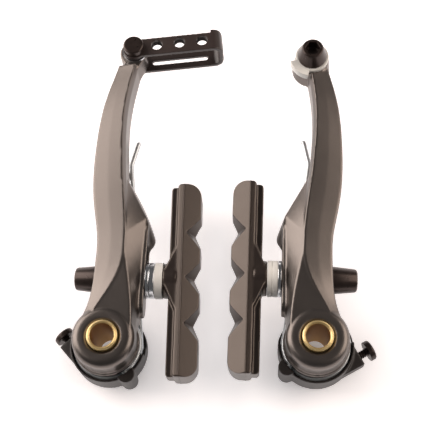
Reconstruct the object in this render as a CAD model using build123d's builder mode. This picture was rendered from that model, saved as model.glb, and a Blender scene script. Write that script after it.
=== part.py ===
from build123d import *
from math import cos, radians, sin
import os

# Lengths are in millimetres, angles in degrees. Every piece is drawn as the left arm's, upright about
# the pivot axis: X points to the wheel, Y to the bicycle frame, Z up the arm. A depth is measured
# from the face of the frame boss towards the front of the brake, along -Y.

# Layout of the pair
pivot_spacing = 72.0
arm_lean = 1.5
housing_turn = 9.0

# Fits
running_clearance = 0.05
seat_clearance = 0.1
press_clearance = 0.02

# Pivot bush
bush_length = 23.9
bush_radius = 5.25
bush_bore_radius = 4.04
bush_chamfer = 0.25

# Pivot boss of the arm
boss_radius = 10.8
boss_front = 22.5
boss_edge_radius = 2.8
bore_chamfer = 0.9
flange_radius = 11.5
flange_thickness = 2.0
boss_back = 11.4

# Spine of the arm: height, outer edge, inner edge and depth of its front face at the inner edge
spine_stations = [
    (2.0, -10.0, -7.2, 22.2),
    (9.0, -7.3, -3.9, 22.2),
    (16.0, -5.7, 0.2, 22.2),
    (24.0, -5.2, 3.8, 22.2),
    (32.0, -5.1, 4.9, 22.2),
    (42.0, -6.3, 4.5, 22.2),
    (53.0, -8.2, 3.1, 22.1),
    (67.0, -8.9, 1.5, 21.8),
]
# Upper stations of the spine, by their distance below its top
upper_stations = [
    (25.0, -8.3, 0.7, 21.4),
    (12.0, -6.3, 1.4, 20.9),
    (0.0, -3.3, 3.2, 20.5),
]
crest_share = 0.5
crest_fall = 1.0
outer_fall = 2.2
bevel_width = 1.0
bevel_depth = 2.6
spine_back = 9.0

# Web beside the spine: its panel and its sharp inner edge
panel_depth = 22.0
panel_shoulder = [(2.9, 52.0), (3.9, 44.5), (4.9, 37.0)]
panel_edge = [(4.9, 37.0), (5.3, 29.5), (6.9, 21.5), (8.4, 13.6), (9.2, 6.0), (9.3, 0.0)]
web_depth = 16.8
web_shoulder = [(3.3, 60.0), (7.6, 52.0), (11.5, 44.8)]
web_edge = [(11.5, 44.8), (11.0, 32.0), (10.6, 18.0), (10.3, 6.0), (10.2, 0.0)]
web_root = [(-8.0, 0.0), (-4.2, 9.0), (-0.1, 16.0), (3.3, 24.0), (4.3, 32.0), (3.4, 44.0)]
wall_shoulder = [(3.4, 61.0), (9.6, 50.5), (14.2, 39.5)]
wall_edge = [(14.2, 39.5), (13.9, 36.4), (12.1, 34.0), (11.6, 29.0), (11.2, 18.0), (10.3, 0.0)]

# Pad carrier: the slotted plate and the pocket for the nut
stud_depth = 12.4
stud_height = 22.8
plate_face = 12.2
plate_thickness = 6.2
plate_width = 9.0
plate_foot = 9.2
plate_top = 44.0
slot_low = 17.2
slot_high = 36.2
pocket_foot = 13.6
pocket_top = 41.0
pocket_corner = 1.2
pocket_reach = 30.0
front_wall = 3.6

# Back of the arm: weight-saving channel and spring post
channel_depth = 5.0
channel_wall = 2.4
post_height = 66.0
post_radius = 1.5
post_end = 3.4

# Head of the left arm, which carries the cable link
link_pin_x = 2.5
link_pin_height = 111.8
tongue_radius = 5.0
tongue_shift = -0.6
tongue_drop = 0.4
tongue_front = 19.0
tongue_thickness = 9.0
tongue_relief = 5.6
neck_x = 2.3
neck_drop = 1.5
neck_radius = 1.7

# Head of the right arm, which carries the cable anchor
anchor_x = 2.3
anchor_drop = 4.0
anchor_boss_radius = 6.3
anchor_boss_spread = 0.9
anchor_boss_front = 19.4
anchor_boss_back = 10.0

# Brake pad
pad_length = 70.0
pad_width = 11.5
pad_face = 31.3
pad_thickness = 8.4
rib_height = 2.5
rib_width = 6.4
hump_height = 3.6
hump_face_length = 7.0
hump_foot_length = 23.0
seat_height = 0.8
seat_radius = 6.2
pad_bevel_width = 1.8
pad_crown = 0.5
rib_inset = 0.4
seam_offset = 2.2
pad_bevel_depth = 2.3
pad_end_radius = 4.5
pad_back_radius = 1.2
pad_tilt = {"left": -1.3, "right": 0.0}
notch_pitch = 16.5
notch_count = 3
notch_depth = 2.0
notch_half_width = 4.4
notch_flare = 3.4

# Stud, washers and nut, in order along the stud
stud_radius = 3.0
stud_root = 5.0
slot_clearance = 0.3
washer_bore_radius = 3.4
cup_bore_radius = 4.2
ball_radius = 14.0
inner_washer_radius = 6.4
outer_washer_radius = 5.8
flat_washer_thickness = 1.3
cup_washer_thickness = 1.9
ball_washer_thickness = 2.9
outer_ball_thickness = 3.0
spacer_swap = {"left": 0.0, "right": 1.2}
outer_flat_thickness = 1.2
nut_length = 12.6
nut_flange_radius = 5.7
nut_flange_thickness = 1.4
nut_base_radius = 5.1
nut_end_radius = 4.0
nut_edge_radius = 0.8
nut_socket_depth = 5.0
nut_thread_depth = 7.0
key_size = 5.0

# Return spring
wire_radius = 0.95
coil_radius = 11.2
coil_rear = 5.9
coil_turns = 2
coil_sections = 8
coil_pitch = 2.0
leg_top = (2.6, 70.0)
leg_tip = (4.9, 80.0)
leg_bend_radius = 5.0
short_end_reach = 3.4
bend_ball_radius = 1.0
coil_clearance = 0.6

# Spring housing
hub_radius = 9.8
hub_gap = 0.15
base_radius = 13.1
base_depth = 7.0
groove_outer_radius = 12.35
groove_floor = 4.6
rim_depth = 10.3
rim_start = 165.0
rim_sweep = 190.0
hook_lug_angle = -47.0
hook_lug_reach = 15.8
hook_lug_radius = 3.0
screw_lug_angle = -38.0
screw_lug_face = 12.3
screw_lug_length = 13.3
screw_lug_width = 7.4
screw_offset = 9.0
screw_depth = 2.5
screw_lug_depth = 5.2
stop_pin_radius = 1.3
stop_pin_root_radius = 1.6
stop_pin_reach = 1.6
stop_pin_socket = 3.4
stop_pin_collar = 0.3
stop_pin_length = 5.0
leg_notch_start = 8.0
leg_notch_end = 58.0
hook_slot_clearance = 0.15
hook_lug_depth = 12.3
screw_bore_length = 11.7

# Tension screw
screw_radius = 1.5
screw_length = 10.0
screw_head_radius = 3.6
screw_head_height = 2.2
screw_head_edge = 0.8
screw_slot_width = 0.9
screw_slot_depth = 0.9
screw_out = {"left": 1.6, "right": 3.2}

# Cable link
sheet = 1.6
link_gap = 0.15
link_angle = 7.5
link_length = 33.6
link_eye_radius = 4.3
link_top = 3.8
link_foot = -3.4
link_corner_radius = 4.0
link_end_width = 4.2
link_end_top = 5.0
link_edge_radius = 1.2
link_hole_pitch = 8.6
link_hole_count = 3
link_hole_radius = 2.1
link_hole_rise = 0.7
link_slot_low = 5.8
link_slot_high = 27.5
link_slot_width = 2.0
noodle_radius = 2.6
noodle_slot_width = 2.4
link_pin_radius = 2.0
pin_head_radius = 3.8
pin_head_height = 2.8
pin_head_chamfer = 0.4
pin_tail_radius = 2.9
pin_tail_height = 1.2
link_washer_radius = 4.7
link_washer_thickness = 0.8

# Cable anchor
anchor_washer_radius = 6.2
anchor_washer_thickness = 1.7
anchor_tab_depth = 1.3
anchor_tab_thickness = 1.1
anchor_tab_start = -80.0
anchor_tab_sweep = 65.0
anchor_bolt_radius = 3.0
anchor_bolt_length = 8.0
anchor_head_radius = 5.4
anchor_head_top_radius = 3.8
anchor_head_height = 5.8
anchor_rim_height = 0.8
anchor_socket_depth = 3.6
anchor_edge_radius = 0.6

sides = ("left", "right")
hand = {"left": 1.0, "right": -1.0}
plate_root = plate_face - plate_thickness
slot_width = 2 * (stud_radius + slot_clearance)
twist = housing_turn - arm_lean
spine_top = link_pin_height - tongue_relief + seat_clearance
stations = spine_stations + [(spine_top - drop, *rest) for drop, *rest in upper_stations]
anchor_height = link_pin_height - anchor_drop
leg_slope = (leg_top[0] - coil_radius) / leg_top[1]
post_x = coil_radius + leg_slope * post_height - wire_radius - post_radius - running_clearance
stud_axis = Axis((0, -stud_depth, stud_height), (1, 0, 0))


def flip(x, depth):
    # A point of a section across the arm, given by its depth.
    return (x, -depth)


def along_stud(x, radius):
    # A point of a turned profile about the stud.
    return (x, stud_height + radius)


# Pivot bush: a plain sleeve, chamfered at its front lip.
with BuildPart() as pivot_bush:
    with BuildSketch(Plane.XZ):
        Circle(bush_radius)
        Circle(bush_bore_radius, mode=Mode.SUBTRACT)
    extrude(amount=bush_length)
    chamfer(pivot_bush.edges().group_by(Axis.Y)[0], bush_chamfer)

# Lightening channel in the back of the arm, between two stations of the spine.
with BuildPart() as arm_channel:
    for drop, outer, inner, front in upper_stations[:2]:
        with BuildSketch(Plane.XY.offset(spine_top - drop)):
            with BuildLine():
                Polyline(
                    flip(outer + channel_wall, spine_back - 1),
                    flip(outer + channel_wall, spine_back + channel_depth),
                    flip(inner + bevel_width - channel_wall, spine_back + channel_depth),
                    flip(inner + bevel_width - channel_wall, spine_back - 1),
                    close=True,
                )
            make_face()
    loft()

# Arm casting without its head: boss, spine, web, slotted plate and spring post.
with BuildPart() as arm_blank:
    with BuildSketch(Plane.XZ.offset(boss_back)):
        Circle(boss_radius)
    extrude(amount=boss_front - boss_back)
    fillet(arm_blank.edges().group_by(Axis.Y)[0], boss_edge_radius)
    with BuildSketch(Plane.XZ.offset(boss_back)):
        Circle(flange_radius)
    extrude(amount=flange_thickness)

    for height, outer, inner, front in stations:
        with BuildSketch(Plane.XY.offset(height)):
            with BuildLine():
                Polyline(
                    flip(outer, spine_back),
                    flip(outer, front - outer_fall),
                    flip(outer + crest_share * (inner - outer), front - crest_fall),
                    flip(inner, front),
                    flip(inner + bevel_width, front - bevel_depth),
                    flip(inner + bevel_width, spine_back),
                    close=True,
                )
            make_face()
    loft()

    with BuildSketch(Plane.XZ.offset(panel_depth)):
        with BuildLine():
            Spline(*panel_shoulder)
            Spline(*panel_edge)
            Polyline(panel_edge[-1], *web_root, panel_shoulder[0])
        make_face()
    with BuildSketch(Plane.XZ.offset(web_depth)):
        with BuildLine():
            Spline(*web_shoulder)
            Spline(*web_edge)
            Polyline(web_edge[-1], *web_root, web_shoulder[0])
        make_face()
    with BuildSketch(Plane.XZ.offset(spine_back)):
        with BuildLine():
            Spline(*wall_shoulder)
            Spline(*wall_edge)
            Polyline(wall_edge[-1], *web_root, wall_shoulder[0])
        make_face()
    loft(ruled=True)

    with BuildSketch(Plane.YZ.offset(plate_root)):
        with Locations((-stud_depth, (plate_foot + plate_top) / 2)):
            SlotOverall(plate_top - plate_foot, plate_width, rotation=90)
    extrude(amount=plate_thickness)

    with BuildSketch(Plane.XZ.offset(boss_front - front_wall)):
        with Locations((plate_root - pocket_reach / 2, (pocket_foot + pocket_top) / 2)):
            RectangleRounded(pocket_reach, pocket_top - pocket_foot, pocket_corner)
    extrude(amount=-boss_front, mode=Mode.SUBTRACT)
    with BuildSketch(Plane.YZ.offset(plate_root - 1)):
        with Locations((-stud_depth, (slot_low + slot_high) / 2)):
            SlotOverall(slot_high - slot_low, slot_width, rotation=90)
    extrude(amount=plate_thickness + 2, mode=Mode.SUBTRACT)
    add(arm_channel.part, mode=Mode.SUBTRACT)
    with BuildSketch(Plane.XZ.offset(boss_back)):
        Circle(coil_radius + wire_radius + coil_clearance)
    extrude(amount=-boss_back, mode=Mode.SUBTRACT)

    with BuildSketch(Plane.XZ.offset(post_end)):
        with Locations((post_x, post_height)):
            Circle(post_radius)
    extrude(amount=spine_back - post_end + 1)
    with BuildSketch(Plane.XZ.offset(boss_back)):
        Circle(bush_radius + running_clearance)
    extrude(amount=boss_front, mode=Mode.SUBTRACT)
    with BuildSketch(Plane.XZ.offset(boss_front)):
        Circle(bush_radius + running_clearance + bore_chamfer)
    with BuildSketch(Plane.XZ.offset(boss_front - bore_chamfer)):
        Circle(bush_radius + running_clearance)
    loft(mode=Mode.SUBTRACT)

# Left arm: its head is a tongue for the two cheeks of the cable link.
with BuildPart() as link_arm:
    add(arm_blank.part)
    with BuildSketch(Plane.XZ.offset(tongue_front)):
        with Locations((link_pin_x, link_pin_height)):
            Circle(tongue_relief)
    extrude(amount=boss_front, mode=Mode.SUBTRACT)
    with BuildSketch(Plane.XZ.offset(tongue_front)):
        with Locations((link_pin_x + tongue_shift, link_pin_height - tongue_drop)):
            Circle(tongue_radius)
        with Locations((neck_x, spine_top - neck_drop)):
            Circle(neck_radius)
        make_hull()
    extrude(amount=-tongue_thickness)
    with BuildSketch(Plane.XZ):
        with Locations((link_pin_x, link_pin_height)):
            Circle(link_pin_radius + press_clearance)
    extrude(amount=boss_front, mode=Mode.SUBTRACT)

# Right arm: its head is a round boss with a spot face for the cable anchor.
with BuildPart() as anchor_arm:
    add(arm_blank.part)
    with BuildSketch(Plane.XZ.offset(anchor_boss_front)):
        with Locations((anchor_x, anchor_height)):
            Circle(anchor_washer_radius + seat_clearance)
    extrude(amount=boss_front, mode=Mode.SUBTRACT)
    with BuildSketch(Plane.XZ.offset(anchor_boss_front)):
        with Locations((anchor_x, anchor_height)):
            Circle(anchor_boss_radius)
    with BuildSketch(Plane.XZ.offset(anchor_boss_back)):
        with Locations((anchor_x, anchor_height)):
            Circle(anchor_boss_radius + anchor_boss_spread)
    loft()
    with BuildSketch(Plane.XZ.offset(anchor_boss_front)):
        with Locations((anchor_x, anchor_height)):
            Circle(anchor_bolt_radius + press_clearance)
    extrude(amount=-anchor_boss_front, mode=Mode.SUBTRACT)

# Flared V notch across the braking face, deeper towards both edges.
with BuildPart() as pad_notch:
    for share, flare in ((-1, notch_flare), (0, 0), (1, notch_flare)):
        with BuildSketch(Plane.XZ.offset(stud_depth + share * (pad_width / 2 + pad_crown))):
            with BuildLine():
                Polyline(
                    (pad_face + notch_depth, stud_height - 2 * notch_half_width),
                    (pad_face - notch_depth - flare, stud_height),
                    (pad_face + notch_depth, stud_height + 2 * notch_half_width),
                    close=True,
                )
            make_face()
    loft(ruled=True)

# Brake pad: one moulded block with a narrow rib along its back and a hump round the stud.
pad_back = pad_face - pad_thickness
hump_face = pad_back - hump_height
seat_face = hump_face - seat_height
with BuildPart() as pad_block:
    with BuildSketch(Plane.XY.offset(stud_height - pad_length / 2)):
        with BuildLine():
            Polyline(
                (pad_back, -stud_depth - pad_width / 2),
                (pad_back + seam_offset, -stud_depth - pad_width / 2 - pad_crown),
                (pad_face - pad_bevel_depth, -stud_depth - pad_width / 2),
                (pad_face, -stud_depth - pad_width / 2 + pad_bevel_width),
                (pad_face, -stud_depth + pad_width / 2 - pad_bevel_width),
                (pad_face - pad_bevel_depth, -stud_depth + pad_width / 2),
                (pad_back + seam_offset, -stud_depth + pad_width / 2 + pad_crown),
                (pad_back, -stud_depth + pad_width / 2),
                close=True,
            )
        make_face()
    extrude(amount=pad_length)
    fillet(pad_block.edges().filter_by(Axis.Y).group_by(Axis.X)[-1], pad_end_radius)
    fillet(pad_block.edges().filter_by(Axis.Y).group_by(Axis.X)[0], pad_back_radius)
    with BuildSketch(Plane.XY.offset(stud_height - pad_length / 2 + rib_inset)):
        with Locations((pad_back - rib_height / 2, -stud_depth)):
            Rectangle(rib_height, rib_width)
    extrude(amount=pad_length - 2 * rib_inset)
    fillet(pad_block.edges().filter_by(Axis.Y).group_by(Axis.X)[0], pad_back_radius)
    with BuildSketch(Plane.XZ.offset(stud_depth - pad_width / 2)):
        with BuildLine():
            Polyline(
                (pad_back, stud_height - hump_foot_length / 2),
                (hump_face, stud_height - hump_face_length / 2),
                (hump_face, stud_height + hump_face_length / 2),
                (pad_back, stud_height + hump_foot_length / 2),
                close=True,
            )
        make_face()
    extrude(amount=pad_width)
    for index in range(notch_count):
        with Locations((0, 0, (index - (notch_count - 1) / 2) * notch_pitch)):
            add(pad_notch.part, mode=Mode.SUBTRACT)


def pad_rubber(tilt):
    # The block, tilted about its stud, with the round seat and the hole square to the stud.
    stud_point = Pos(pad_back, -stud_depth, stud_height)
    tilted = stud_point * Rot(0, tilt, 0) * stud_point.inverse() * pad_block.part
    with BuildPart() as rubber:
        add(tilted)
        with BuildSketch(Plane.YZ.offset(seat_face)):
            with Locations((-stud_depth, stud_height)):
                Circle(seat_radius)
        extrude(amount=pad_back - seat_face)
        with BuildSketch(Plane.YZ.offset(seat_face)):
            with Locations((-stud_depth, stud_height)):
                Circle(stud_radius + press_clearance)
        extrude(amount=stud_root, mode=Mode.SUBTRACT)
    return rubber.part


# Stud: a plain rod from the pad to the inside of the nut.
inner_seat = plate_face + seat_clearance
outer_seat = plate_root - seat_clearance
inner_cup_seat = inner_seat + flat_washer_thickness
inner_ball_seat = inner_cup_seat + cup_washer_thickness
outer_ball_seat = outer_seat - cup_washer_thickness
outer_flat_seat = outer_ball_seat - outer_ball_thickness
nut_seat = outer_flat_seat - outer_flat_thickness
stud_end = nut_seat - nut_thread_depth + seat_clearance
with BuildPart() as pad_stud:
    with BuildSketch(Plane.YZ.offset(stud_end)):
        with Locations((-stud_depth, stud_height)):
            Circle(stud_radius)
    extrude(amount=seat_face + stud_root - stud_end)
    chamfer(pad_stud.edges().group_by(Axis.X)[0], bush_chamfer)


def bulge(radius, rim):
    # Height of the spherical seat above its rim.
    return (ball_radius**2 - radius**2) ** 0.5 - (ball_radius**2 - rim**2) ** 0.5


def flat_washer(seat, way, rim, thickness):
    # Plain ring on the stud.
    with BuildPart() as washer:
        with BuildSketch(Plane.YZ.offset(seat)):
            with Locations((-stud_depth, stud_height)):
                Circle(rim)
                Circle(washer_bore_radius, mode=Mode.SUBTRACT)
        extrude(amount=way * thickness)
        chamfer(washer.edges().filter_by(GeomType.CIRCLE).sort_by(SortBy.RADIUS)[-2:], bush_chamfer)
    return washer.part


def cup_washer(seat, way, rim):
    # Ring with a hollow spherical seat on the side away from the arm.
    top = seat + way * cup_washer_thickness
    middle = (rim + cup_bore_radius) / 2
    with BuildPart() as washer:
        with BuildSketch(Plane.XZ.offset(stud_depth)):
            with BuildLine():
                Polyline(
                    along_stud(top - way * bulge(cup_bore_radius, rim), cup_bore_radius),
                    along_stud(seat, cup_bore_radius),
                    along_stud(seat, rim),
                    along_stud(top, rim),
                )
                ThreePointArc(
                    along_stud(top, rim),
                    along_stud(top - way * bulge(middle, rim), middle),
                    along_stud(top - way * bulge(cup_bore_radius, rim), cup_bore_radius),
                )
            make_face()
        revolve(axis=stud_axis)
    return washer.part


def ball_washer(seat, way, rim, thickness):
    # Ring with a raised spherical seat on the side of the arm.
    base = seat + way * running_clearance
    middle = (rim + washer_bore_radius) / 2
    with BuildPart() as washer:
        with BuildSketch(Plane.XZ.offset(stud_depth)):
            with BuildLine():
                Polyline(
                    along_stud(base - way * bulge(washer_bore_radius, rim), washer_bore_radius),
                    along_stud(seat + way * thickness, washer_bore_radius),
                    along_stud(seat + way * thickness, rim),
                    along_stud(base, rim),
                )
                ThreePointArc(
                    along_stud(base, rim),
                    along_stud(base - way * bulge(middle, rim), middle),
                    along_stud(base - way * bulge(washer_bore_radius, rim), washer_bore_radius),
                )
            make_face()
        revolve(axis=stud_axis)
    return washer.part


# Pad nut: a flanged, tapered cap with a hexagon socket in its outer end.
nut_end = nut_seat - nut_length
with BuildPart() as pad_nut:
    with BuildSketch(Plane.XZ.offset(stud_depth)):
        with BuildLine():
            Polyline(
                along_stud(nut_seat, 0),
                along_stud(nut_seat, nut_flange_radius),
                along_stud(nut_seat - nut_flange_thickness, nut_flange_radius),
                along_stud(nut_seat - nut_flange_thickness, nut_base_radius),
                along_stud(nut_end, nut_end_radius),
                along_stud(nut_end, 0),
                close=True,
            )
        make_face()
    revolve(axis=stud_axis)
    fillet(pad_nut.edges().group_by(Axis.X)[0], nut_edge_radius)
    with BuildSketch(Plane.YZ.offset(nut_seat - nut_thread_depth)):
        with Locations((-stud_depth, stud_height)):
            Circle(stud_radius + running_clearance)
    extrude(amount=nut_thread_depth, mode=Mode.SUBTRACT)
    with BuildSketch(Plane.YZ.offset(nut_end)):
        with Locations((-stud_depth, stud_height)):
            RegularPolygon(key_size / 2, 6, major_radius=False)
    extrude(amount=nut_socket_depth, mode=Mode.SUBTRACT)


def return_spring(hook_angle):
    # Coil about the bush, a short hook held by the housing and a long leg behind the arm.
    sweep_angle = 360 * coil_turns - hook_angle
    hook_way = (cos(radians(hook_angle)), sin(radians(hook_angle)))
    hook_root = (coil_radius * hook_way[0], coil_radius * hook_way[1])
    hook_end = (hook_root[0] + short_end_reach * hook_way[0], hook_root[1] + short_end_reach * hook_way[1])
    hook_depth = coil_rear + coil_pitch * sweep_angle / 360
    section_angle = sweep_angle / coil_sections
    section_rise = coil_pitch * section_angle / 360
    sections = []
    for index in range(coil_sections):
        start = (0, -coil_rear - index * section_rise, 0)
        section = Helix(coil_pitch, section_rise, coil_radius, start, (0, -1, 0), lefthand=True)
        sections.append(Rot(0, index * section_angle - 90, 0) * section)
    coil = Wire(sections)
    with BuildPart() as spring:
        with BuildSketch(Plane(coil @ 0, z_dir=coil % 0)):
            Circle(wire_radius)
        sweep(path=coil, is_frenet=True)
        with BuildLine(Plane.XZ.offset(coil_rear)) as leg:
            FilletPolyline((coil_radius, 0), leg_top, leg_tip, radius=leg_bend_radius)
        with BuildSketch(Plane(leg.line @ 0, z_dir=leg.line % 0)):
            Circle(wire_radius)
        sweep(path=leg.line)
        with BuildLine(Plane.XZ.offset(hook_depth)) as hook:
            Line(hook_root, hook_end)
        with BuildSketch(Plane(hook.line @ 0, z_dir=hook.line % 0)):
            Circle(wire_radius)
        sweep(path=hook.line)
        with Locations((coil_radius, -coil_rear, 0), (hook_root[0], -hook_depth, hook_root[1])):
            Sphere(bend_ball_radius)
    return spring.part


# Spring housing: a grooved base with a hub, a guard rim, a hook lug and a lug for the screw.
screw_way = (cos(radians(screw_lug_angle)), sin(radians(screw_lug_angle)))


def on_screw(reach, offset):
    # A point of the housing from its distance along and beside the tension screw.
    x = reach * screw_way[0] + offset * screw_way[1]
    z = reach * screw_way[1] - offset * screw_way[0]
    return (x, z)


def wedge(start, end, reach):
    # Corner points of a sector of the housing between two angles.
    middle = (start + end) / 2
    corners = [(0, 0)]
    for angle in (start, middle, end):
        corners.append((reach * cos(radians(angle)), reach * sin(radians(angle))))
    return corners


screw_plane = Plane(
    (on_screw(-screw_lug_face, screw_offset)[0], -screw_depth, on_screw(-screw_lug_face, screw_offset)[1]),
    x_dir=(0, 1, 0),
    z_dir=(screw_way[0], 0, screw_way[1]),
)
stop_pin_place = on_screw(stop_pin_reach, screw_offset)
hook_place = (cos(radians(hook_lug_angle)), sin(radians(hook_lug_angle)))
hook_lug_centre = hook_lug_reach - hook_lug_radius
hook_slot_depth = coil_rear + coil_pitch * coil_turns - wire_radius
hook_slot_width = 2 * (wire_radius + hook_slot_clearance)
with BuildPart() as spring_housing:
    with BuildSketch(Plane.XZ):
        Circle(base_radius)
    extrude(amount=base_depth)
    with BuildSketch(Plane.XZ):
        with Locations(on_screw(-screw_lug_face + screw_lug_length / 2, screw_offset)):
            Rectangle(screw_lug_length, screw_lug_width, rotation=screw_lug_angle)
    extrude(amount=screw_lug_depth)
    with BuildSketch(Plane.XZ.offset(base_depth)):
        Circle(base_radius)
        with BuildLine():
            Polyline(*wedge(rim_start + rim_sweep - 360, rim_start, 3 * base_radius), close=True)
        make_face(mode=Mode.SUBTRACT)
    extrude(amount=rim_depth - base_depth)
    with BuildSketch(Plane.XZ):
        with Locations((hook_lug_centre * hook_place[0], hook_lug_centre * hook_place[1])):
            Circle(hook_lug_radius)
    extrude(amount=hook_lug_depth)
    with BuildSketch(Plane.XZ.offset(groove_floor)):
        Circle(groove_outer_radius)
    extrude(amount=boss_front, mode=Mode.SUBTRACT)
    with BuildSketch(Plane.XZ.offset(groove_floor)):
        with BuildLine():
            Polyline(*wedge(leg_notch_start, leg_notch_end, 2 * base_radius), close=True)
        make_face()
    extrude(amount=boss_front, mode=Mode.SUBTRACT)
    with BuildSketch(Plane.XZ):
        Circle(hub_radius)
    extrude(amount=boss_back - hub_gap)
    with BuildSketch(Plane.XZ.offset(hook_slot_depth)):
        with Locations((base_radius * hook_place[0], base_radius * hook_place[1])):
            Rectangle(base_radius - hub_radius, hook_slot_width, rotation=hook_lug_angle)
    extrude(amount=hook_slot_width + hook_slot_clearance, mode=Mode.SUBTRACT)
    with BuildSketch(Plane.XZ):
        Circle(bush_radius + press_clearance)
    extrude(amount=boss_front, mode=Mode.SUBTRACT)
    with BuildSketch(screw_plane):
        Circle(screw_radius + running_clearance)
    extrude(amount=screw_bore_length, mode=Mode.SUBTRACT)
    with BuildSketch(Plane.XZ):
        with Locations(stop_pin_place):
            Circle(stop_pin_root_radius + press_clearance)
    extrude(amount=stop_pin_socket, mode=Mode.SUBTRACT)

# Stop pin for the spring hole of the frame boss.
with BuildPart() as stop_pin:
    with BuildSketch(Plane.XZ.offset(-stop_pin_length)):
        with Locations(stop_pin_place):
            Circle(stop_pin_radius)
    extrude(amount=stop_pin_length)
    with BuildSketch(Plane.XZ.offset(-stop_pin_collar)):
        with Locations(stop_pin_place):
            Circle(stop_pin_root_radius)
    extrude(amount=stop_pin_socket + stop_pin_collar)
    chamfer(stop_pin.edges().group_by(Axis.Y)[-1], bush_chamfer)


def tension_screw(out):
    # Slotted pan-head screw, turned out of the housing by the given length.
    with BuildPart() as screw:
        with BuildSketch(screw_plane.offset(-out)):
            Circle(screw_radius)
        extrude(amount=screw_length)
        with BuildSketch(screw_plane.offset(-out)):
            Circle(screw_head_radius)
        extrude(amount=-screw_head_height)
        rims = screw.edges().filter_by(GeomType.CIRCLE).sort_by(Axis(screw_plane.origin, screw_plane.z_dir))
        fillet(rims[0], screw_head_edge)
        with BuildSketch(screw_plane.offset(-out - screw_head_height)):
            Rectangle(screw_slot_width, 3 * screw_head_radius)
        extrude(amount=screw_slot_depth, mode=Mode.SUBTRACT)
    return screw.part


# Cable link: a strip folded into a narrow U whose cheeks stand on both sides of the tongue.
pin_place = (link_pin_x, 0, link_pin_height)
link_way = (cos(radians(link_angle)), 0, sin(radians(link_angle)))
link_rise = (-sin(radians(link_angle)), 0, cos(radians(link_angle)))
link_plan = Plane(pin_place, x_dir=link_way, z_dir=link_rise)
link_side = Plane(pin_place, x_dir=link_way, z_dir=(0, -1, 0))
link_end = Plane(pin_place, x_dir=(0, 1, 0), z_dir=link_way)
washer_seat = tongue_front + running_clearance
cheek_front = washer_seat + link_washer_thickness + link_gap
cheek_back = tongue_front - tongue_thickness - link_gap
cheek_middle = (cheek_front + cheek_back) / 2
with BuildPart() as cable_link:
    with BuildSketch(link_plan.offset(-link_end_top)) as outer_plan:
        with Locations(((link_length - link_eye_radius) / 2, -cheek_middle)):
            Rectangle(link_length + link_eye_radius, cheek_front - cheek_back + 2 * sheet)
        fillet(outer_plan.vertices().group_by(Axis.X)[-1], link_corner_radius)
    extrude(amount=2 * link_end_top)
    with BuildSketch(link_plan.offset(-link_end_top)) as inner_plan:
        with Locations(((link_length - sheet) / 2 - link_eye_radius, -cheek_middle)):
            Rectangle(link_length - sheet + 2 * link_eye_radius, cheek_front - cheek_back)
        fillet(inner_plan.vertices().group_by(Axis.X)[-1], link_corner_radius - sheet)
    extrude(amount=2 * link_end_top, mode=Mode.SUBTRACT)
    with BuildSketch(link_side) as outline:
        Circle(link_eye_radius)
        with Locations((link_length / 2, (link_top + link_foot) / 2)):
            Rectangle(link_length, link_top - link_foot)
        with Locations((link_length - link_end_width / 2, (link_end_top + link_foot) / 2)):
            Rectangle(link_end_width, link_end_top - link_foot)
        fillet(outline.vertices().group_by(Axis.X)[-1], link_edge_radius)
    extrude(amount=boss_front, mode=Mode.INTERSECT)
    with BuildSketch(link_side.offset(cheek_middle)):
        with Locations((link_hole_pitch * (link_hole_count + 1) / 2, link_hole_rise)):
            with GridLocations(link_hole_pitch, 1, link_hole_count, 1):
                Circle(link_hole_radius)
    extrude(amount=boss_front, mode=Mode.SUBTRACT)
    with BuildSketch(link_side):
        with Locations(((link_slot_low + link_slot_high) / 2, 0)):
            SlotOverall(link_slot_high - link_slot_low, link_slot_width)
    extrude(amount=cheek_middle, mode=Mode.SUBTRACT)
    with BuildSketch(link_side):
        Circle(link_pin_radius + running_clearance)
    extrude(amount=boss_front, mode=Mode.SUBTRACT)
    with BuildSketch(link_end):
        with Locations((-cheek_middle, 0)):
            Circle(noodle_radius)
        with Locations((-cheek_middle, link_end_top)):
            Rectangle(noodle_slot_width, 2 * link_end_top)
    extrude(amount=link_length + sheet, mode=Mode.SUBTRACT)

# Link pin: a headed rivet through link and tongue, with a washer between the two.
pin_seat = cheek_front + sheet + running_clearance
pin_tail_seat = cheek_back - sheet - running_clearance
with BuildPart() as link_pin:
    with BuildSketch(link_side.offset(pin_tail_seat)):
        Circle(link_pin_radius)
    extrude(amount=pin_seat - pin_tail_seat)
    with BuildSketch(link_side.offset(pin_seat)):
        Circle(pin_head_radius)
    extrude(amount=pin_head_height)
    chamfer(link_pin.edges().group_by(Axis.Y)[0], pin_head_chamfer)
    with BuildSketch(link_side.offset(pin_tail_seat)):
        Circle(pin_tail_radius)
    extrude(amount=-pin_tail_height)
    chamfer(link_pin.edges().group_by(Axis.Y)[-1], pin_head_chamfer)

with BuildPart() as link_washer:
    with BuildSketch(link_side.offset(washer_seat)):
        Circle(link_washer_radius)
        Circle(link_pin_radius + press_clearance, mode=Mode.SUBTRACT)
    extrude(amount=link_washer_thickness)

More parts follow.
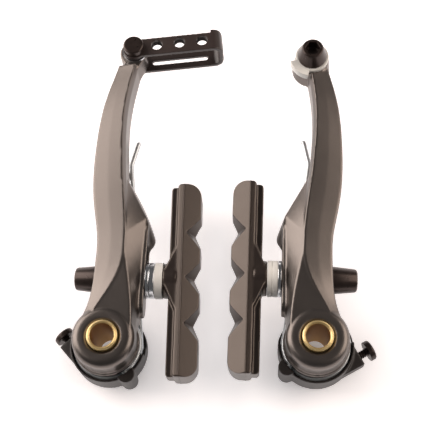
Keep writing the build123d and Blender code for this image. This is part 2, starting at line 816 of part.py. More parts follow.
# Anchor washer: a thick ring with a tab folded back along the side of the boss.
anchor_side = Plane((anchor_x, 0, anchor_height), x_dir=(1, 0, 0), z_dir=(0, -1, 0))
tab_radius = anchor_boss_radius + anchor_boss_spread + seat_clearance
anchor_tab_end = anchor_tab_start + anchor_tab_sweep
with BuildPart() as anchor_washer:
    with BuildSketch(anchor_side.offset(anchor_boss_front)):
        Circle(anchor_washer_radius)
    extrude(amount=anchor_washer_thickness)
    chamfer(anchor_washer.edges().group_by(Axis.Y)[0], bush_chamfer)
    with BuildSketch(anchor_side.offset(anchor_boss_front)):
        with BuildLine():
            Polyline(*wedge(anchor_tab_start, anchor_tab_end, 3 * tab_radius), close=True)
        make_face()
        Circle(tab_radius + anchor_tab_thickness, mode=Mode.INTERSECT)
    extrude(amount=anchor_washer_thickness)
    with BuildSketch(anchor_side.offset(anchor_boss_front)):
        with BuildLine():
            Polyline(*wedge(anchor_tab_start, anchor_tab_end, 3 * tab_radius), close=True)
        make_face()
        Circle(tab_radius + anchor_tab_thickness, mode=Mode.INTERSECT)
        Circle(tab_radius, mode=Mode.SUBTRACT)
    extrude(amount=-anchor_tab_depth)
    with BuildSketch(anchor_side.offset(anchor_boss_front)):
        Circle(anchor_bolt_radius + seat_clearance)
    extrude(amount=anchor_washer_thickness, mode=Mode.SUBTRACT)

# Anchor bolt: a conical head with a hexagon socket.
anchor_seat = anchor_boss_front + anchor_washer_thickness
with BuildPart() as anchor_bolt:
    with BuildSketch(anchor_side.offset(anchor_seat)):
        Circle(anchor_head_radius)
    extrude(amount=anchor_rim_height)
    with BuildSketch(anchor_side.offset(anchor_seat + anchor_rim_height)):
        Circle(anchor_head_radius)
    with BuildSketch(anchor_side.offset(anchor_seat + anchor_head_height)):
        Circle(anchor_head_top_radius)
    loft()
    fillet(anchor_bolt.edges().group_by(Axis.Y)[0], anchor_edge_radius)
    with BuildSketch(anchor_side.offset(anchor_seat + anchor_head_height)):
        RegularPolygon(key_size / 2, 6, major_radius=False)
    extrude(amount=-anchor_socket_depth, mode=Mode.SUBTRACT)
    with BuildSketch(anchor_side.offset(anchor_seat)):
        Circle(anchor_bolt_radius)
    extrude(amount=-anchor_bolt_length)

# Both sides: the right arm's pieces are the mirror image, leaning the same way as the left ones.
pieces = []
for side in sides:
    head = link_arm.part if side == "left" else anchor_arm.part
    swap = spacer_swap[side]
    drawn_in = Pos(-swap, 0, 0)
    inner_ball = ball_washer(inner_ball_seat, 1, inner_washer_radius, ball_washer_thickness - swap)
    outer_ball = ball_washer(outer_ball_seat, -1, outer_washer_radius, outer_ball_thickness + swap)
    inner_flat = flat_washer(inner_seat, 1, inner_washer_radius, flat_washer_thickness)
    outer_flat = flat_washer(outer_flat_seat, -1, outer_washer_radius, outer_flat_thickness)
    pieces += [
        (side, "arm", head, arm_lean),
        (side, "pivot_bush", pivot_bush.part, arm_lean),
        (side, "spring_housing", spring_housing.part, housing_turn),
        (side, "stop_pin", stop_pin.part, housing_turn),
        (side, "tension_screw", tension_screw(screw_out[side]), housing_turn),
        (side, "return_spring", return_spring(hook_lug_angle - hand[side] * twist), arm_lean),
        (side, "pad_rubber", drawn_in * pad_rubber(pad_tilt[side]), arm_lean),
        (side, "pad_stud", drawn_in * pad_stud.part, arm_lean),
        (side, "inner_flat_washer", inner_flat, arm_lean),
        (side, "inner_cup_washer", cup_washer(inner_cup_seat, 1, inner_washer_radius), arm_lean),
        (side, "inner_ball_washer", inner_ball, arm_lean),
        (side, "outer_cup_washer", cup_washer(outer_seat, -1, outer_washer_radius), arm_lean),
        (side, "outer_ball_washer", outer_ball, arm_lean),
        (side, "outer_flat_washer", drawn_in * outer_flat, arm_lean),
        (side, "pad_nut", drawn_in * pad_nut.part, arm_lean),
    ]
pieces += [
    ("left", "cable_link", cable_link.part, arm_lean),
    ("left", "link_pin", link_pin.part, arm_lean),
    ("left", "link_washer", link_washer.part, arm_lean),
    ("right", "anchor_washer", anchor_washer.part, arm_lean),
    ("right", "anchor_bolt", anchor_bolt.part, arm_lean),
]

os.makedirs("parts", exist_ok=True)
for side, name, piece, turn in pieces:
    handed = piece if side == "left" else mirror(piece, about=Plane.YZ)
    pivot = 0 if side == "left" else pivot_spacing
    placed = Pos(pivot, 0, 0) * Rot(0, turn, 0) * handed
    placed.label = f"{side}_{name}"
    export_step(placed, f"parts/{side}_{name}.step")
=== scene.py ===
from math import radians

import bmesh
import bpy
import numpy as np
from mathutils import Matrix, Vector


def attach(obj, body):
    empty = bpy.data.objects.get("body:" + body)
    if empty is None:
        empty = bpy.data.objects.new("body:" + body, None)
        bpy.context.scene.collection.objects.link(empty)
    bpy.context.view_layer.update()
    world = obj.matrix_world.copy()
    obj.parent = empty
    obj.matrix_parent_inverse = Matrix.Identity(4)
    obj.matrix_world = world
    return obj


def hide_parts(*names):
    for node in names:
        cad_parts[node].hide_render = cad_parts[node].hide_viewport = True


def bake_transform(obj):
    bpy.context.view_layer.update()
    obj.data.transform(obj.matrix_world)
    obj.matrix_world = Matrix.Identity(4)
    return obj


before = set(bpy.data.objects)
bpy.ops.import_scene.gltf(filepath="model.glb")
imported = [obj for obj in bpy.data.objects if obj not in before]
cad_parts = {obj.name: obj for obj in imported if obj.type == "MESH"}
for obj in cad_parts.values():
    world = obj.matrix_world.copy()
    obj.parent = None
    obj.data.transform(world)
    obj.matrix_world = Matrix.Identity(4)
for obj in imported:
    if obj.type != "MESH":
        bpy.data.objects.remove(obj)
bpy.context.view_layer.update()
print("frame:", len(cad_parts), "nodes")

layout = {"pivotSpacing": 72.0, "armLean": 1.5, "housingTurn": 9.0}  # mm, degrees
sides = ("left", "right")


def linear(hexText):
    # sRGB hex to linear RGBA
    raw = np.array([int(hexText[i:i + 2], 16) for i in (1, 3, 5)]) / 255.0
    lin = np.where(raw <= 0.04045, raw / 12.92, ((raw + 0.055) / 1.055) ** 2.4)
    return (*map(float, lin), 1.0)


def addNode(tree, kind, inputs=(), **settings):
    # inputs maps a socket name or number to a value or to another node's output
    node = tree.nodes.new(kind)
    for name, value in settings.items():
        setattr(node, name, value)
    for name, value in dict(inputs).items():
        if isinstance(value, bpy.types.NodeSocket):
            tree.links.new(value, node.inputs[name])
        else:
            node.inputs[name].default_value = value
    return node


def newMaterial(name):
    material = bpy.data.materials.new(name)
    material.use_nodes = True
    material.node_tree.nodes.clear()
    return material, material.node_tree


def addObject(name, data):
    thing = bpy.data.objects.new(name, data)
    bpy.context.scene.collection.objects.link(thing)
    return thing


def place(side, local, turn=layout["armLean"]):
    # arm frame (inward, depth, up) in mm to the row frame in metres: mirror, turn about Y, move to the pivot
    local = np.asarray(local, float)
    x = local[..., 0] * (1 if side == "left" else -1)
    y, z = -local[..., 1], local[..., 2]
    c, s = np.cos(radians(turn)), np.sin(radians(turn))
    shift = 0.0 if side == "left" else layout["pivotSpacing"]
    return np.stack([x * c + z * s + shift, y, -x * s + z * c], -1) / 1000


def placeAxes(side, start, steps, turn=layout["armLean"]):
    # a start point and unit steps from it in the arm frame, as an origin in metres and unit axes
    corners = place(side, np.stack([start, *(start + np.asarray(step) for step in steps)]), turn)
    return corners[0], (corners[1:] - corners[0]) * 1000


def meshPoints(mesh):
    co = np.empty(len(mesh.vertices) * 3, np.float32)
    mesh.vertices.foreach_get("co", co)
    return co.reshape(-1, 3)


def movePoints(mesh, points):
    mesh.vertices.foreach_set("co", points.astype(np.float32).ravel())


def gridFaces(rows, columns, wrap):
    # quads of a rows x columns grid, its columns joined end to end and, with wrap, its rows too
    i = np.arange(rows if wrap else rows - 1)[:, None]
    j = np.arange(columns)[None, :]
    k, m = (i + 1) % rows, (j + 1) % columns
    quads = np.stack(np.broadcast_arrays(i * columns + j, i * columns + m, k * columns + m, k * columns + j), -1)
    return quads.reshape(-1, 4).tolist()


def gridMesh(name, points, wrap, smoothAngle=35.0):
    # a grid of points as one closed mesh, welded, turned outwards and smooth up to the angle
    mesh = bpy.data.meshes.new(name)
    mesh.from_pydata(points.reshape(-1, 3).tolist(), [], gridFaces(points.shape[0], points.shape[1], wrap))
    bm = bmesh.new()
    bm.from_mesh(mesh)
    bmesh.ops.remove_doubles(bm, verts=bm.verts, dist=2e-7)  # metres
    bmesh.ops.recalc_face_normals(bm, faces=bm.faces)
    bm.to_mesh(mesh)
    bm.free()
    mesh.set_sharp_from_angle(angle=radians(smoothAngle))
    mesh.polygons.foreach_set("use_smooth", [True] * len(mesh.polygons))
    return mesh


def castCopy(node, cast):
    # the CAD node's own triangles, welded, remeshed at the voxel size and relaxed, so every edge is a cast or moulded one
    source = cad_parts[node].data
    co = meshPoints(source)
    corner = np.empty(len(source.loops), np.int32)
    source.loops.foreach_get("vertex_index", corner)
    cells = np.round(co / 2e-6).astype(np.int64)  # points in the same 2 micron cell are one
    _, first, back = np.unique(cells, axis=0, return_index=True, return_inverse=True)
    tri = back.reshape(-1)[corner].reshape(-1, 3)
    tri = tri[(tri[:, 0] != tri[:, 1]) & (tri[:, 1] != tri[:, 2]) & (tri[:, 2] != tri[:, 0])]
    welded = bpy.data.meshes.new(node + "_welded")
    welded.from_pydata(co[first].tolist(), [], tri.tolist())
    rough = addObject(node + "_welded", welded)
    remesh = rough.modifiers.new("remesh", "REMESH")
    remesh.mode = "VOXEL"
    remesh.voxel_size = cast["voxel"] / 1000
    relax = rough.modifiers.new("relax", "SMOOTH")
    relax.factor = 0.5
    relax.iterations = cast["relax"]
    bpy.context.view_layer.update()
    done = bpy.data.meshes.new_from_object(rough.evaluated_get(bpy.context.evaluated_depsgraph_get()))
    bpy.data.objects.remove(rough)
    bpy.data.meshes.remove(welded)
    done.name = node
    done.polygons.foreach_set("use_smooth", [True] * len(done.polygons))
    done.materials.clear()
    return done


def addPiece(name, mesh, material, body, nodes):
    # the finished mesh, riding on its body in place of its CAD nodes
    mesh.materials.append(material)
    piece = addObject(name, mesh)
    if body:
        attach(piece, body)
    if nodes:
        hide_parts(*nodes)
    return piece


def softEdges(piece, width, angle=30.0, segments=3):
    # small rounded edges where two faces meet at more than the angle
    bevel = piece.modifiers.new("edges", "BEVEL")
    bevel.width = width / 1000
    bevel.segments = segments
    bevel.limit_method = "ANGLE"
    bevel.angle_limit = radians(angle)
    bevel.harden_normals = True


def turned(profile, around, steps=96, hexRows=None):
    # profile of (reach, radius) carried round an axis; in the rows of a key socket the circle is a hexagon
    profile = np.asarray(profile, float)
    t = np.arange(steps) * 2 * np.pi / steps
    reach = np.repeat(profile[:, :1], steps, 1)
    radius = np.repeat(profile[:, 1:2], steps, 1)
    if hexRows:
        sixth = (t + np.pi / 6) % (np.pi / 3) - np.pi / 6
        radius[hexRows] = radius[hexRows] / np.cos(sixth)[None, :]
    origin, axis, first, second = (np.asarray(v, float) for v in around)
    ring = np.cos(t)[None, :, None] * first + np.sin(t)[None, :, None] * second
    return origin + reach[..., None] * axis + radius[..., None] * ring


def sweptWire(path, radius, around):
    # circle of the wire carried along a path that stays square to Y; the ends are half balls
    step = np.gradient(path, axis=0)
    tangent = step / np.linalg.norm(step, axis=1, keepdims=True)
    across = np.cross(tangent, (0.0, 1.0, 0.0))
    across /= np.linalg.norm(across, axis=1, keepdims=True)
    other = np.cross(tangent, across)
    length = np.concatenate([[0], np.cumsum(np.linalg.norm(np.diff(path, axis=0), axis=1))])
    fromEnd = np.minimum(length, length[-1] - length)
    size = radius * np.sqrt(np.clip(1 - (1 - np.clip(fromEnd / radius, 0, 1)) ** 2, 0, 1))
    t = np.arange(around) * 2 * np.pi / around
    ring = np.cos(t)[None, :, None] * across[:, None] + np.sin(t)[None, :, None] * other[:, None]
    return path[:, None] + size[:, None, None] * ring


castFinish = {"dark": "#69635f", "pale": "#77706c", "metallic": 0.95, "rough": (0.3, 0.4),
              "clouds": 14.0, "grit": 0.35, "relief": 0.12, "depth": 0.08}  # mm


def anodisedAluminium(finish):
    # die-cast aluminium, bead blasted and dyed dark: a satin brown-grey sheen, grain felt rather than seen
    material, tree = newMaterial("anodised_cast_aluminium")
    where = addNode(tree, "ShaderNodeTexCoord").outputs["Object"]
    cloud = addNode(tree, "ShaderNodeTexNoise", {"Vector": where, "Scale": 1000 / finish["clouds"], "Detail": 3.0})
    grit = addNode(tree, "ShaderNodeTexNoise", {"Vector": where, "Scale": 1000 / finish["grit"], "Detail": 2.0})
    tint = addNode(tree, "ShaderNodeMix", {
        0: cloud.outputs["Fac"], 6: linear(finish["dark"]), 7: linear(finish["pale"])}, data_type="RGBA")
    rough = addNode(tree, "ShaderNodeMapRange", {
        "Value": cloud.outputs["Fac"], "To Min": finish["rough"][0], "To Max": finish["rough"][1]})
    bump = addNode(tree, "ShaderNodeBump", {
        "Height": grit.outputs["Fac"], "Strength": finish["relief"], "Distance": finish["depth"] / 1000})
    shader = addNode(tree, "ShaderNodeBsdfPrincipled", {
        "Base Color": tint.outputs[2], "Metallic": finish["metallic"], "Roughness": rough.outputs["Result"],
        "Normal": bump.outputs["Normal"]})
    addNode(tree, "ShaderNodeOutputMaterial", {"Surface": shader.outputs["BSDF"]})
    return material


brassFinishes = {
    "turned_brass": {"dark": "#e6c27a", "pale": "#f7e2ae", "metallic": 0.8, "rough": (0.34, 0.42)},  # bright lip
    # the bore's darker, browner colour is painted shade inside the bore; its higher roughness is the drawn finish
    "drawn_brass_bore_painted_shade": {"dark": "#a87c3f", "pale": "#c79a58", "metallic": 0.9, "rough": (0.4, 0.5)},  # dull and brown
}
brassLines = {"apart": 0.3, "long": 10 / 3}  # mm: faint turning lines along and across the bush's axis


def turnedBrass(name):
    # drawn brass tube, turned at the lip: bright warm gold with faint rings; the bore is dull from drawing, and its
    # darker brown is painted shade inside the bore
    finish = brassFinishes[name]
    material, tree = newMaterial(name)
    where = addNode(tree, "ShaderNodeTexCoord").outputs["Object"]
    line = addNode(tree, "ShaderNodeMapping", {
        "Vector": where, "Scale": (1000 / brassLines["long"], 1000 / brassLines["apart"], 1000 / brassLines["long"])})
    ring = addNode(tree, "ShaderNodeTexNoise", {"Vector": line.outputs["Vector"], "Scale": 1.0, "Detail": 2.0})
    tint = addNode(tree, "ShaderNodeMix", {
        0: ring.outputs["Fac"], 6: linear(finish["dark"]), 7: linear(finish["pale"])}, data_type="RGBA")
    rough = addNode(tree, "ShaderNodeMapRange", {
        "Value": ring.outputs["Fac"], "To Min": finish["rough"][0], "To Max": finish["rough"][1]})
    shader = addNode(tree, "ShaderNodeBsdfPrincipled", {
        "Base Color": tint.outputs[2], "Metallic": finish["metallic"], "Roughness": rough.outputs["Result"]})
    addNode(tree, "ShaderNodeOutputMaterial", {"Surface": shader.outputs["BSDF"]})
    return material


rubberFinish = {"dark": "#1a1413", "pale": "#2a221f", "sheen": "#fdece0", "rough": (0.27, 0.38), "ior": 1.8,
                "bloom": 6.0, "pebble": 0.5, "relief": 0.2, "depth": 0.1}  # mm


def mouldedRubber(finish):
    # moulded brake compound: brownish black with the sheen of the mould, a dusty bloom and a fine pebble
    material, tree = newMaterial("moulded_brake_rubber")
    where = addNode(tree, "ShaderNodeTexCoord").outputs["Object"]
    bloom = addNode(tree, "ShaderNodeTexNoise", {"Vector": where, "Scale": 1000 / finish["bloom"], "Detail": 4.0})
    pebble = addNode(tree, "ShaderNodeTexNoise", {"Vector": where, "Scale": 1000 / finish["pebble"], "Detail": 2.0})
    tint = addNode(tree, "ShaderNodeMix", {
        0: bloom.outputs["Fac"], 6: linear(finish["dark"]), 7: linear(finish["pale"])}, data_type="RGBA")
    rough = addNode(tree, "ShaderNodeMapRange", {
        "Value": bloom.outputs["Fac"], "To Min": finish["rough"][0], "To Max": finish["rough"][1]})
    bump = addNode(tree, "ShaderNodeBump", {
        "Height": pebble.outputs["Fac"], "Strength": finish["relief"], "Distance": finish["depth"] / 1000})
    shader = addNode(tree, "ShaderNodeBsdfPrincipled", {
        "Base Color": tint.outputs[2], "Roughness": rough.outputs["Result"], "IOR": finish["ior"],
        "Specular Tint": linear(finish["sheen"]), "Normal": bump.outputs["Normal"]})
    addNode(tree, "ShaderNodeOutputMaterial", {"Surface": shader.outputs["BSDF"]})
    return material


nylonFinish = {"dark": "#211b19", "pale": "#302926", "rough": (0.4, 0.55), "ior": 1.53,
               "fibre": 0.6, "relief": 0.2, "depth": 0.1}  # mm


def filledNylon(finish):
    # glass-filled nylon, moulded black: satin with a slightly rough skin
    material, tree = newMaterial("glass_filled_nylon")
    where = addNode(tree, "ShaderNodeTexCoord").outputs["Object"]
    skin = addNode(tree, "ShaderNodeTexNoise", {"Vector": where, "Scale": 1000 / finish["fibre"], "Detail": 3.0})
    tint = addNode(tree, "ShaderNodeMix", {
        0: skin.outputs["Fac"], 6: linear(finish["dark"]), 7: linear(finish["pale"])}, data_type="RGBA")
    rough = addNode(tree, "ShaderNodeMapRange", {
        "Value": skin.outputs["Fac"], "To Min": finish["rough"][0], "To Max": finish["rough"][1]})
    bump = addNode(tree, "ShaderNodeBump", {
        "Height": skin.outputs["Fac"], "Strength": finish["relief"], "Distance": finish["depth"] / 1000})
    shader = addNode(tree, "ShaderNodeBsdfPrincipled", {
        "Base Color": tint.outputs[2], "Roughness": rough.outputs["Result"], "IOR": finish["ior"],
        "Normal": bump.outputs["Normal"]})
    addNode(tree, "ShaderNodeOutputMaterial", {"Surface": shader.outputs["BSDF"]})
    return material


steelFinishes = {  # patches in mm
    # cool, pale wire with a soft shine
    "drawn_spring_steel": {"dark": "#c6cacc", "pale": "#e4e9ec", "rough": (0.34, 0.44), "patch": 3.0, "metallic": 0.75},
    # mirror-like washers
    "bright_nickel_plate": {"dark": "#c8cbd0", "pale": "#eef0f2", "rough": (0.17, 0.24), "patch": 4.0, "metallic": 1.0},
    # whitish, nearly matt washers
    "dull_zinc_plate": {"dark": "#f2efe8", "pale": "#fbf9f4", "rough": (0.34, 0.46), "patch": 1.5, "metallic": 0.05},
    # oiled black screws
    "black_oxide_steel": {"dark": "#352c29", "pale": "#483d39", "rough": (0.24, 0.34), "patch": 2.0, "metallic": 0.6},
    # near-black and matt: painted shade on the walls of the link's holes
    "black_steel_hole_painted_shade": {"dark": "#161211", "pale": "#1f1a18", "rough": (0.7, 0.8), "patch": 2.0, "metallic": 0.0},
    # glossy black sheet
    "black_enamelled_steel": {"dark": "#3a312f", "pale": "#463b38", "rough": (0.28, 0.36), "patch": 8.0, "metallic": 0.0},
}


def finishedSteel(name):
    # plated, blacked or drawn steel: two close tones in patches of a real size, the roughness following them
    finish = steelFinishes[name]
    material, tree = newMaterial(name)
    where = addNode(tree, "ShaderNodeTexCoord").outputs["Object"]
    cloud = addNode(tree, "ShaderNodeTexNoise", {"Vector": where, "Scale": 1000 / finish["patch"], "Detail": 3.0})
    tint = addNode(tree, "ShaderNodeMix", {
        0: cloud.outputs["Fac"], 6: linear(finish["dark"]), 7: linear(finish["pale"])}, data_type="RGBA")
    rough = addNode(tree, "ShaderNodeMapRange", {
        "Value": cloud.outputs["Fac"], "To Min": finish["rough"][0], "To Max": finish["rough"][1]})
    shader = addNode(tree, "ShaderNodeBsdfPrincipled", {
        "Base Color": tint.outputs[2], "Metallic": finish["metallic"], "Roughness": rough.outputs["Result"]})
    addNode(tree, "ShaderNodeOutputMaterial", {"Surface": shader.outputs["BSDF"]})
    return material


armMetal = anodisedAluminium(castFinish)
brass = turnedBrass("turned_brass")
shadedBoreBrass = turnedBrass("drawn_brass_bore_painted_shade")
rubber = mouldedRubber(rubberFinish)
nylon = filledNylon(nylonFinish)
springSteel = finishedSteel("drawn_spring_steel")
nickelPlate = finishedSteel("bright_nickel_plate")
zincPlate = finishedSteel("dull_zinc_plate")
blackOxide = finishedSteel("black_oxide_steel")
blackEnamel = finishedSteel("black_enamelled_steel")
holeShadeSteel = finishedSteel("black_steel_hole_painted_shade")
print("materials:", len(bpy.data.materials))


cameraSettings = {"at": (0.052914, -0.330265, -0.080004), "turn": (111.8137, -0.8820, 2.5735), "lens": 79.53}
camera = addObject("camera", bpy.data.cameras.new("camera"))
camera.location = cameraSettings["at"]
camera.rotation_euler = [radians(a) for a in cameraSettings["turn"]]
camera.data.lens = cameraSettings["lens"]
camera.data.sensor_width = 36.0
camera.data.sensor_fit = "HORIZONTAL"
camera.data.clip_start = 0.01
bpy.context.scene.camera = camera

lampSettings = {  # metres, watts: a large soft light far to the left, a weaker one to the right
    "key": {"at": (-0.60, -0.34, 0.28), "to": (0.02, 0.0, 0.05), "size": (0.85, 0.7), "power": 7.5, "colour": "#fff5ee"},
    "fill": {"at": (0.57, -0.36, 0.13), "to": (0.05, 0.0, 0.05), "size": (0.45, 0.6), "power": 2.6, "colour": "#fff0e4"},
}
for lampName, lamp in lampSettings.items():
    light = bpy.data.lights.new(lampName, "AREA")
    light.shape = "RECTANGLE"
    light.size, light.size_y = lamp["size"]
    light.energy = lamp["power"]
    light.color = linear(lamp["colour"])[:3]
    holder = addObject(lampName, light)
    holder.location = lamp["at"]
    holder.rotation_euler = Vector(np.subtract(lamp["to"], lamp["at"])).to_track_quat("-Z", "Y").to_euler()

# a dim room in front of the part; behind it the pale table, which is shaded further down
roomSettings = {"colour": "#fdfbfc", "room": 0.1, "frontToBack": (-0.25, 0.25), "lowToHigh": (-0.4, 0.3),
                "table": (0.48, 0.76), "background": 1.0}
world = bpy.data.worlds.new("studio")
bpy.context.scene.world = world
world.use_nodes = True
studio = world.node_tree
studio.nodes.clear()
sightRay = addNode(studio, "ShaderNodeLightPath")
way = addNode(studio, "ShaderNodeSeparateXYZ", {"Vector": addNode(studio, "ShaderNodeTexCoord").outputs["Generated"]})
tableLevel = addNode(studio, "ShaderNodeMapRange", {
    "Value": way.outputs["Z"], "From Min": roomSettings["lowToHigh"][0], "From Max": roomSettings["lowToHigh"][1],
    "To Min": roomSettings["table"][0], "To Max": roomSettings["table"][1]})
roundLevel = addNode(studio, "ShaderNodeMapRange", {
    "Value": way.outputs["Y"], "From Min": roomSettings["frontToBack"][0], "From Max": roomSettings["frontToBack"][1],
    "To Min": roomSettings["room"], "To Max": tableLevel.outputs["Result"]})
level = addNode(studio, "ShaderNodeMix", {
    0: sightRay.outputs["Is Camera Ray"], 2: roundLevel.outputs["Result"], 3: roomSettings["background"]})
sky = addNode(studio, "ShaderNodeBackground", {
    "Color": linear(roomSettings["colour"]), "Strength": level.outputs[0]})
addNode(studio, "ShaderNodeOutputWorld", {"Surface": sky.outputs["Background"]})

# metres; lift is a glow added to the card, painted darker within the shade distance of the part as painted contact
# shade
tableSettings = {"y": 0.0056, "half": 1.2, "colour": "#f7f2f2", "glow": "#fffbfb", "lift": 0.72, "shade": 0.016,
                 "shadeSamples": 8}
tableMaterial, tree = newMaterial("white_card")
ray = addNode(tree, "ShaderNodeLightPath")
facing = addNode(tree, "ShaderNodeNewGeometry")
# seen by the camera, in metal and through glass, and from the front only
sight = addNode(tree, "ShaderNodeMath", {
    0: ray.outputs["Is Camera Ray"], 1: ray.outputs["Is Glossy Ray"]}, operation="ADD")
anySight = addNode(tree, "ShaderNodeMath", {
    0: sight.outputs["Value"], 1: ray.outputs["Is Transmission Ray"]}, operation="ADD")
seen = addNode(tree, "ShaderNodeMath", {
    0: anySight.outputs["Value"], 1: facing.outputs["Backfacing"]}, operation="SUBTRACT", use_clamp=True)
card = addNode(tree, "ShaderNodeBsdfDiffuse", {"Color": linear(tableSettings["colour"])})
# ambient occlusion dims the card's glow near the part: painted contact shade under and between the parts
close = addNode(tree, "ShaderNodeAmbientOcclusion", {"Distance": tableSettings["shade"]},
               samples=tableSettings["shadeSamples"])
openness = addNode(tree, "ShaderNodeMapRange", {"Value": close.outputs["AO"], "To Max": tableSettings["lift"]})
glow = addNode(tree, "ShaderNodeEmission", {
    "Color": linear(tableSettings["glow"]), "Strength": openness.outputs["Result"]})
lit = addNode(tree, "ShaderNodeAddShader", {0: card.outputs["BSDF"], 1: glow.outputs["Emission"]})
clear = addNode(tree, "ShaderNodeBsdfTransparent")
shown = addNode(tree, "ShaderNodeMixShader", {
    0: seen.outputs["Value"], 1: clear.outputs["BSDF"], 2: lit.outputs["Shader"]})
addNode(tree, "ShaderNodeOutputMaterial", {"Surface": shown.outputs["Shader"]})
half, tableY = tableSettings["half"], tableSettings["y"]
tableMesh = bpy.data.meshes.new("table")
tableMesh.from_pydata([(-half, tableY, -half), (half, tableY, -half), (half, tableY, half), (-half, tableY, half)],
                      [], [(0, 1, 2, 3)])
tableMesh.materials.append(tableMaterial)
table = addObject("table", tableMesh)
bpy.context.scene.view_settings.view_transform = "Standard"
print("camera, lamps and table set")


armSettings = {"voxel": 0.31, "relax": 9}  # voxels are mm, relaxing is in rounds
for side in sides:
    mesh = castCopy(side + "_arm", armSettings)
    addPiece(side + "_arm_casting", mesh, armMetal, side + "_arm", [side + "_arm"])
    print(side, "arm cast:", len(mesh.polygons), "faces")

housingSettings = {"voxel": 0.3, "relax": 4}
for side in sides:
    mesh = castCopy(side + "_spring_housing", housingSettings)
    addPiece(side + "_housing_moulding", mesh, nylon, "base", [side + "_spring_housing"])
print("housings moulded")

# mm: the pad block stands on the stud, its back at "back" from the pivot; the right one is set nearer by "drawnIn"
padSettings = {"voxel": 0.3, "relax": 7, "back": 22.9, "stud": (12.4, 22.8), "half": (6.25, 35.0),
               "seam": 2.2, "fall": 0.36,
               "tilt": {"left": -1.3, "right": 0.0}, "drawnIn": {"left": 0.0, "right": 1.2}}
seamSettings = {"corner": 0.8, "bead": 0.17, "around": 8, "cornerSteps": 9, "edgeSteps": 41, "smoothAngle": 60.0}
for side in sides:
    tilt = radians(padSettings["tilt"][side])
    start = np.array([padSettings["back"] - padSettings["drawnIn"][side], *padSettings["stud"]])
    inward, front, upward = np.array([(np.cos(tilt), 0, -np.sin(tilt)), (0, 1, 0), (np.sin(tilt), 0, np.cos(tilt))])

    # the CAD block's own surface, its front and back drawn in to a plane that falls from the seam to the tread
    mesh = castCopy(side + "_pad_rubber", padSettings)
    co = meshPoints(mesh).astype(float)
    origin, axes = placeAxes(side, start, (inward, front))
    toTread, depth = ((co - origin) @ axes.T * 1000).T
    limit = padSettings["half"][0] - padSettings["fall"] * np.clip(toTread - padSettings["seam"], 0, None)
    over = np.sign(depth) * np.clip(np.abs(depth) - limit, 0, None)
    movePoints(mesh, co - over[:, None] * axes[1] / 1000)
    addPiece(side + "_pad_block", mesh, rubber, side + "_pad", [side + "_pad_rubber"])

    # parting line: a bead along a rounded rectangle of depth and height, which goes round the block at its crown
    arc = np.linspace(0, np.pi / 2, seamSettings["cornerSteps"])
    quarter = np.stack([np.cos(arc), np.sin(arc)], -1) * seamSettings["corner"]
    middle = np.subtract(padSettings["half"], seamSettings["corner"])
    corners = [(quarter[::a * b] + middle) * (a, b) for a, b in ((1, 1), (-1, 1), (-1, -1), (1, -1))]
    share = np.linspace(0, 1, seamSettings["edgeSteps"])[1:-1, None]
    edges = [corners[i][-1] + (corners[(i + 1) % 4][0] - corners[i][-1]) * share for i in range(4)]
    loop = np.concatenate([part for pair in zip(corners, edges) for part in pair])
    tangent = np.roll(loop, -1, 0) - np.roll(loop, 1, 0)
    outward = np.stack([tangent[:, 1], -tangent[:, 0]], -1) / np.linalg.norm(tangent, axis=1, keepdims=True)
    t = np.arange(seamSettings["around"]) * 2 * np.pi / seamSettings["around"]
    bead = seamSettings["bead"] * np.stack([np.cos(t), np.sin(t)])
    flat = loop[:, None] + outward[:, None] * bead[1][None, :, None]
    local = (start + (padSettings["seam"] + bead[0])[None, :, None] * inward
             + flat[..., :1] * front + flat[..., 1:] * upward)
    mesh = gridMesh(side + "_pad_seam", place(side, local), True, seamSettings["smoothAngle"])
    addPiece(side + "_pad_seam", mesh, rubber, side + "_pad", [])
print("pads moulded")

linkSettings = {"voxel": 0.2, "relax": 4, "pin": (2.5, 111.8), "angle": 7.5, "pitch": 8.6, "rise": 0.7, "inside": 20.1,
                "holes": 3, "hole": 2.1, "rim": 2.5, "collar": 2.2, "taper": 0.15, "steps": 40}
run, climb = np.cos(radians(linkSettings["angle"])), np.sin(radians(linkSettings["angle"]))
for i in range(1, linkSettings["holes"] + 1):
    # the metal drawn in round each hole: a short tube behind the front cheek, near-black as painted shade in the hole
    along, rise = linkSettings["pitch"] * i, linkSettings["rise"]
    middle = (linkSettings["pin"][0] + along * run - rise * climb, linkSettings["inside"],
              linkSettings["pin"][1] + along * climb + rise * run)
    hole, rim, collar = linkSettings["hole"], linkSettings["rim"], linkSettings["collar"]
    profile = [(0, hole), (0, rim), (-collar, rim - linkSettings["taper"]), (-collar, hole)]
    tube = turned(profile, (middle, (0, 1, 0), (1, 0, 0), (0, 0, 1)), linkSettings["steps"])
    mesh = gridMesh(f"left_link_collar_{i}", place("left", tube), True)
    addPiece(f"left_link_collar_{i}", mesh, holeShadeSteel, "left_link", [])
mesh = castCopy("left_cable_link", linkSettings)
addPiece("left_link_strip", mesh, blackEnamel, "left_link", ["left_cable_link"])

rivetSettings = {"voxel": 0.16, "relax": 3}
mesh = castCopy("left_link_pin", rivetSettings)
addPiece("left_link_rivet", mesh, blackOxide, "left_arm", ["left_link_pin"])

anchorSettings = {"ring": {"voxel": 0.18, "relax": 3}, "screw": {"voxel": 0.16, "relax": 4}}
mesh = castCopy("right_anchor_washer", anchorSettings["ring"])
addPiece("right_anchor_ring", mesh, zincPlate, "right_arm", ["right_anchor_washer"])
mesh = castCopy("right_anchor_bolt", anchorSettings["screw"])
addPiece("right_anchor_screw", mesh, blackOxide, "right_arm", ["right_anchor_bolt"])
print("link and anchor done")


